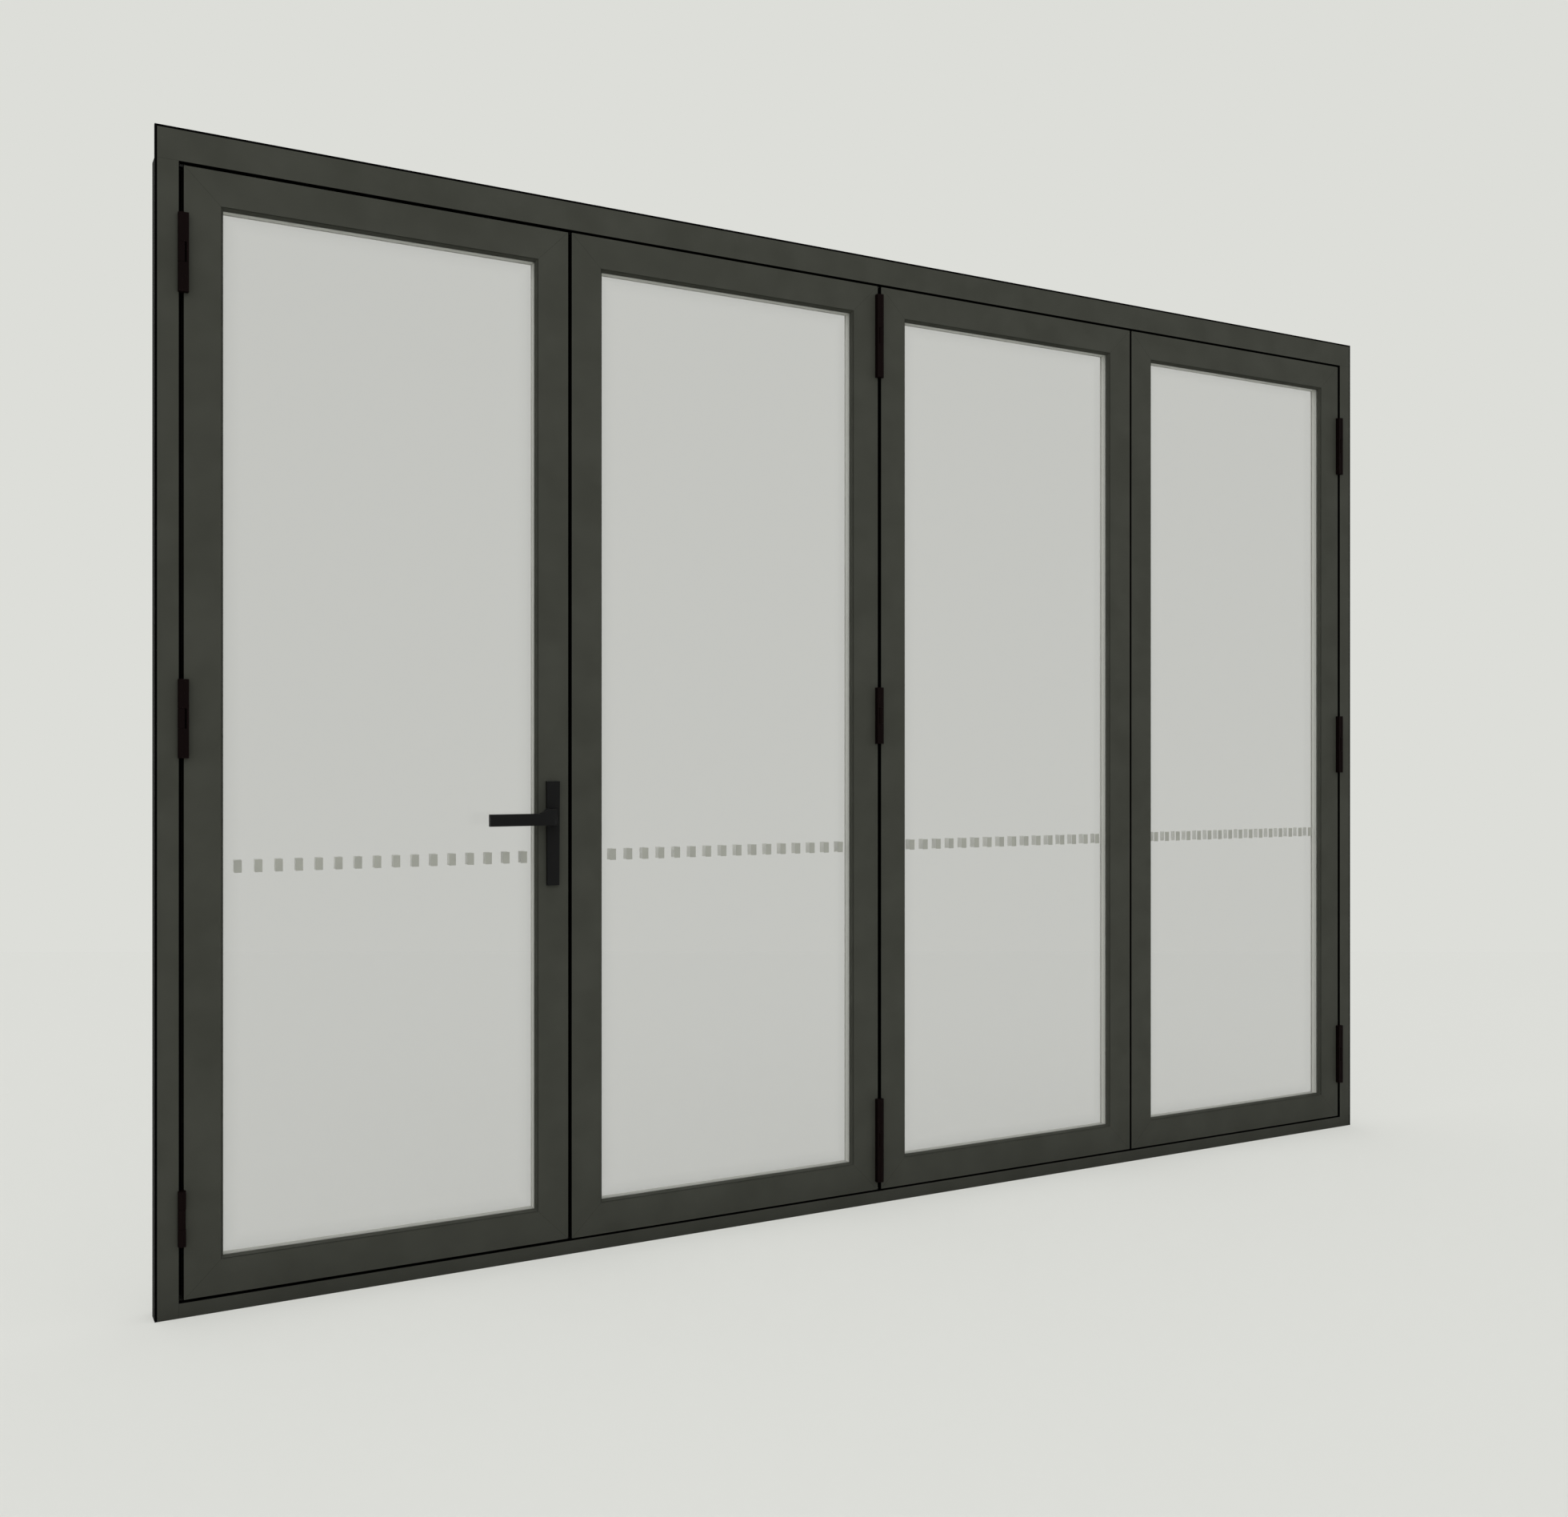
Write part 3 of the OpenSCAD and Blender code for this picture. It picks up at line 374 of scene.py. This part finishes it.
def finish_piece(piece, material, body):
    """Material, body and slot of a finished piece."""
    wear(piece, material)
    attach(piece, body)


def millimetres(corner):
    return [value / MM for value in corner]


def box_mm(node):
    """Lowest and highest corner of a CAD node in mm."""
    low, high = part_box(node)
    return millimetres(low), millimetres(high)


leaf_low = {}
leaf_high = {}
for n in LEAVES:
    leaf_low[n] = box_mm(f"leaf_{n}_left_stile")[0]
    leaf_high[n] = box_mm(f"leaf_{n}_right_stile")[1]
BODY_OF_LEAF = {1: "access_leaf", 2: "frame", 3: "frame", 4: "frame"}

frame_low, frame_high = millimetres(cad_low), millimetres(cad_high)
left_jamb_low, left_jamb_high = box_mm("left_jamb")
right_jamb_low, right_jamb_high = box_mm("right_jamb")
head_low, head_high = box_mm("head_frame")
sill_low, sill_high = box_mm("sill_frame")
front_y = head_low[1]
jamb_face_w = 45
sill_face_h = 29.7
head_face_h = 66.7
jamb_inner_left = left_jamb_low[0] + jamb_face_w
jamb_inner_right = right_jamb_high[0] - jamb_face_w
head_under = head_high[2] - head_face_h
stop_y = front_y + 54

# ---- weather gaskets that line the gaps round the leaves: black rubber, and painted shade that makes the gaps read black

GASKET = 0.7
SET_BACK = 0.1
GASKET_DEEP = 19
gasket_y = (front_y + SET_BACK, front_y + GASKET_DEEP)

leaf_gaskets = {"access_leaf": [], "frame": []}
for n in LEAVES:
    low, high = leaf_low[n], leaf_high[n]
    sides = [
        bar("side", (low[0] - GASKET, gasket_y[0], low[2]), (low[0], gasket_y[1], high[2])),
        bar("side", (high[0], gasket_y[0], low[2]), (high[0] + GASKET, gasket_y[1], high[2])),
    ]
    leaf_gaskets[BODY_OF_LEAF[n]] += sides

frame_gaskets = [
    bar("jamb", (jamb_inner_left, gasket_y[0], sill_face_h),
        (jamb_inner_left + GASKET, front_y + 23, head_under)),
    bar("jamb", (jamb_inner_right - GASKET, gasket_y[0], sill_face_h),
        (jamb_inner_right, front_y + 23, head_under)),
    bar("head", (jamb_inner_left, gasket_y[0], head_under - GASKET),
        (jamb_inner_right, front_y + 16.5, head_under)),
    bar("sill", (jamb_inner_left, gasket_y[0], sill_face_h),
        (jamb_inner_right, front_y + 16.5, sill_face_h + GASKET)),
    bar("stop", (jamb_inner_left, stop_y - GASKET, sill_face_h),
        (jamb_inner_left + 12.5, stop_y, head_under)),
    bar("stop", (jamb_inner_right - 12.5, stop_y - GASKET, sill_face_h),
        (jamb_inner_right, stop_y, head_under)),
]
finish_piece(join("access_leaf_gaskets", leaf_gaskets["access_leaf"]), rubber, "access_leaf")
finish_piece(join("frame_gaskets", leaf_gaskets["frame"] + frame_gaskets), rubber, "frame")

# ---- silicone along the room side of each pane, on the beads' edge

SEAL_LOW = 70.5
SEAL_HIGH = 75.5
SEAL_DEEP = 3

glass_rear_y = box_mm("access_leaf_glass")[1][1]
seal_y = (glass_rear_y, glass_rear_y + SEAL_DEEP)
seal_runs = {"access_leaf": [], "frame": []}
for n in LEAVES:
    low, high = leaf_low[n], leaf_high[n]
    for x in (low[0] + SEAL_LOW, high[0] - SEAL_HIGH):
        seal_runs[BODY_OF_LEAF[n]].append(
            bar("upright", (x, seal_y[0], low[2] + SEAL_LOW),
                (x + SEAL_HIGH - SEAL_LOW, seal_y[1], high[2] - SEAL_LOW)))
    for z in (low[2] + SEAL_LOW, high[2] - SEAL_HIGH):
        seal_runs[BODY_OF_LEAF[n]].append(
            bar("level", (low[0] + SEAL_HIGH, seal_y[0], z),
                (high[0] - SEAL_HIGH, seal_y[1], z + SEAL_HIGH - SEAL_LOW)))
for body, members in seal_runs.items():
    finish_piece(join(f"{body}_silicone_seals", members), silicone, body)

# ---- square markers on the glass, one row on each face of a sealed unit

MARKERS = 16
MARKER_W = 15
MARKER_H = 26
MARKER_PITCH = 40.93
MARKER_Z = 906.2
# How far the middle of each leaf's row stands right of the leaf's middle, and of the room side's row
# right of the outer row
ROW_SHIFT = {1: 2.8, 2: 1.8, 3: -2.0, 4: -1.9}
REAR_SHIFT = 2.0
FILM_T = 0.2

pane_low, pane_high = box_mm("access_leaf_glass")
FILMS = (
    ("outside", pane_low[1] - FILM_T, 0, front_film),
    ("room_side", pane_high[1], REAR_SHIFT, rear_film),
)
for n in LEAVES:
    middle_x = (leaf_low[n][0] + leaf_high[n][0]) / 2 + ROW_SHIFT[n]
    for side, face_y, shift, film in FILMS:
        first_x = middle_x + shift - MARKER_PITCH * (MARKERS - 1) / 2
        row = bar("row", (first_x - MARKER_W / 2, face_y, MARKER_Z - MARKER_H / 2),
                  (first_x + MARKER_W / 2, face_y + FILM_T, MARKER_Z + MARKER_H / 2), 0.05)
        repeat = row.modifiers.new("row", "ARRAY")
        repeat.count = MARKERS
        repeat.use_relative_offset = False
        repeat.use_constant_offset = True
        repeat.constant_offset_displace = (MARKER_PITCH * MM, 0, 0)
        deselect()
        row.select_set(True)
        bpy.context.view_layer.objects.active = row
        bpy.ops.object.modifier_apply(modifier="row")
        row.name = f"glass_markers_leaf_{n}_{side}"
        finish_piece(row, film, BODY_OF_LEAF[n])

# ---- hairline joints: the mitres of each leaf and the butts of head, jambs and sill

LINE_W = 0.25
LINE_T = 0.1
FACE_W = 71
ROOM_FACE_W = 62


def mitre_line(corner, inward, length, y):
    """A hairline from a leaf's outer corner inwards at 45 degrees."""
    reach = length * math.sqrt(2)
    line = bar("mitre", (0, y - LINE_T / 2, -LINE_W / 2), (reach, y + LINE_T / 2, LINE_W / 2), 0.04)
    line.rotation_euler = (0, -math.atan2(inward[1], inward[0]), 0)
    line.location = (corner[0] * MM, 0, corner[1] * MM)
    return settle(line)


lines = {"access_leaf": [], "frame": []}
for n in LEAVES:
    low, high = leaf_low[n], leaf_high[n]
    for y, length in ((low[1], FACE_W), (high[1], ROOM_FACE_W)):
        for corner, inward in (
            ((low[0], low[2]), (1, 1)), ((high[0], low[2]), (-1, 1)),
            ((low[0], high[2]), (1, -1)), ((high[0], high[2]), (-1, -1)),
        ):
            lines[BODY_OF_LEAF[n]].append(mitre_line(corner, inward, length, y))
for x0, x1 in ((frame_low[0] + 4.6, jamb_inner_left), (jamb_inner_right, frame_high[0] - 4.6)):
    lines["frame"].append(bar("butt", (x0, front_y - LINE_T / 2, head_under - LINE_W / 2),
                              (x1, front_y + LINE_T / 2, head_under + LINE_W / 2), 0.04))
for x in (jamb_inner_left, jamb_inner_right):
    lines["frame"].append(bar("butt", (x - LINE_W / 2, front_y - LINE_T / 2, 0.2),
                              (x + LINE_W / 2, front_y + LINE_T / 2, sill_face_h), 0.04))
for body, members in lines.items():
    finish_piece(join(f"{body}_joint_lines", members), polyamide, body)

# ---- floor and light

FLOOR_FAR = 8.9
FLOOR_BACK = 25
FLOOR_SIDE = 30

deselect()
bpy.ops.mesh.primitive_plane_add(size=1, location=(0, 0, 0))
floor = bpy.context.object
floor.name = "studio_floor"
floor.scale = (2 * FLOOR_SIDE, FLOOR_FAR + FLOOR_BACK, 1)
floor.location = (0, (FLOOR_FAR - FLOOR_BACK) / 2, 0)
settle(floor)
floor.rotation_euler = (0, 0, camera.rotation_euler.z)
floor.location = (camera.location.x, camera.location.y, frame_low[2] * MM - 0.0005)
settle(floor)

# Matt pale studio floor. What the camera, reflections and glass see of it is mostly an even tone,
# with a weaker share of real light and shade. Just in front of the door it is black to diffuse rays:
# painted shade, which throws no light back and darkens the foot of the door.
EVEN_SHARE = 0.62
SHADE_NEAR = 45
SHADE_FAR = 95
floor_paint, tree = new_material("pale_studio_floor")
place = add(tree, "TexCoord")
clouds = add(tree, "TexNoise", {"Scale": 0.35, "Detail": 1.0}, {"Vector": place.outputs["Object"]})
tones = add(tree, "ValToRGB", links={"Fac": clouds.outputs["Fac"]})
tones.color_ramp.elements[0].color = linear("#DCDDD8")
tones.color_ramp.elements[1].color = linear("#DFE0DB")
lit = add(tree, "BsdfPrincipled", {"Roughness": 1.0, "Specular IOR Level": 0.0},
          {"Base Color": tones.outputs["Color"]})
even = add(tree, "Emission", {"Color": linear("#DBDCD7"), "Strength": 1.0})
shown = add(tree, "MixShader", {"Fac": EVEN_SHARE}, {1: lit.outputs["BSDF"], 2: even.outputs["Emission"]})
axes = add(tree, "SeparateXYZ", links={"Vector": place.outputs["Object"]})
away = add(tree, "Math", {"operation": "SUBTRACT", 0: front_y * MM}, {1: axes.outputs["Y"]})
strip = add(tree, "MapRange", {"From Min": SHADE_NEAR * MM, "From Max": SHADE_FAR * MM},
            {"Value": away.outputs["Value"]})
# Painted shade: the black strip that diffuse rays find just in front of the door
dark = add(tree, "BsdfPrincipled", {"Base Color": linear("#000000"), "Roughness": 1.0,
                                    "Specular IOR Level": 0.0})
thrown = add(tree, "MixShader", links={
    "Fac": strip.outputs["Result"], 1: dark.outputs["BSDF"], 2: lit.outputs["BSDF"],
})
path = add(tree, "LightPath")
surface = add(tree, "MixShader", links={
    "Fac": path.outputs["Is Diffuse Ray"], 1: shown.outputs["Shader"], 2: thrown.outputs["Shader"],
})
add(tree, "OutputMaterial", links={"Surface": surface.outputs["Shader"]})
wear(floor, floor_paint)

# The world lights evenly and shows pale grey to the camera, in reflections and through glass
world = bpy.data.worlds.new("studio")
bpy.context.scene.world = world
world.use_nodes = True
sky = world.node_tree
sky.nodes.clear()
path = add(sky, "LightPath")
seen = add(sky, "Math", {"operation": "MAXIMUM"}, {
    0: path.outputs["Is Camera Ray"], 1: path.outputs["Is Glossy Ray"],
})
seen_all = add(sky, "Math", {"operation": "MAXIMUM"}, {
    0: seen.outputs["Value"], 1: path.outputs["Is Transmission Ray"],
})
lighting = add(sky, "Background", {"Color": (1, 1, 1, 1), "Strength": 1.0})
shown = add(sky, "Background", {"Color": linear("#DDDED9"), "Strength": 1.0})
either = add(sky, "MixShader", links={
    "Fac": seen_all.outputs["Value"], 1: lighting.outputs["Background"], 2: shown.outputs["Background"],
})
add(sky, "OutputWorld", links={"Surface": either.outputs["Shader"]})

# One wide soft lamp in front of the door, above the camera
lamp_data = bpy.data.lights.new("soft_front", "AREA")
lamp_data.shape = "RECTANGLE"
lamp_data.size = 6
lamp_data.size_y = 4
lamp_data.energy = 60
lamp = bpy.data.objects.new("soft_front", lamp_data)
lamp.location = (-2.5, -5.5, 4.5)
lamp.rotation_euler = (Vector((0, 0, 1.4)) - lamp.location).to_track_quat("-Z", "Y").to_euler()
lamp.visible_glossy = False
lamp.visible_transmission = False
bpy.context.scene.collection.objects.link(lamp)

bpy.context.scene.view_settings.view_transform = "Standard"
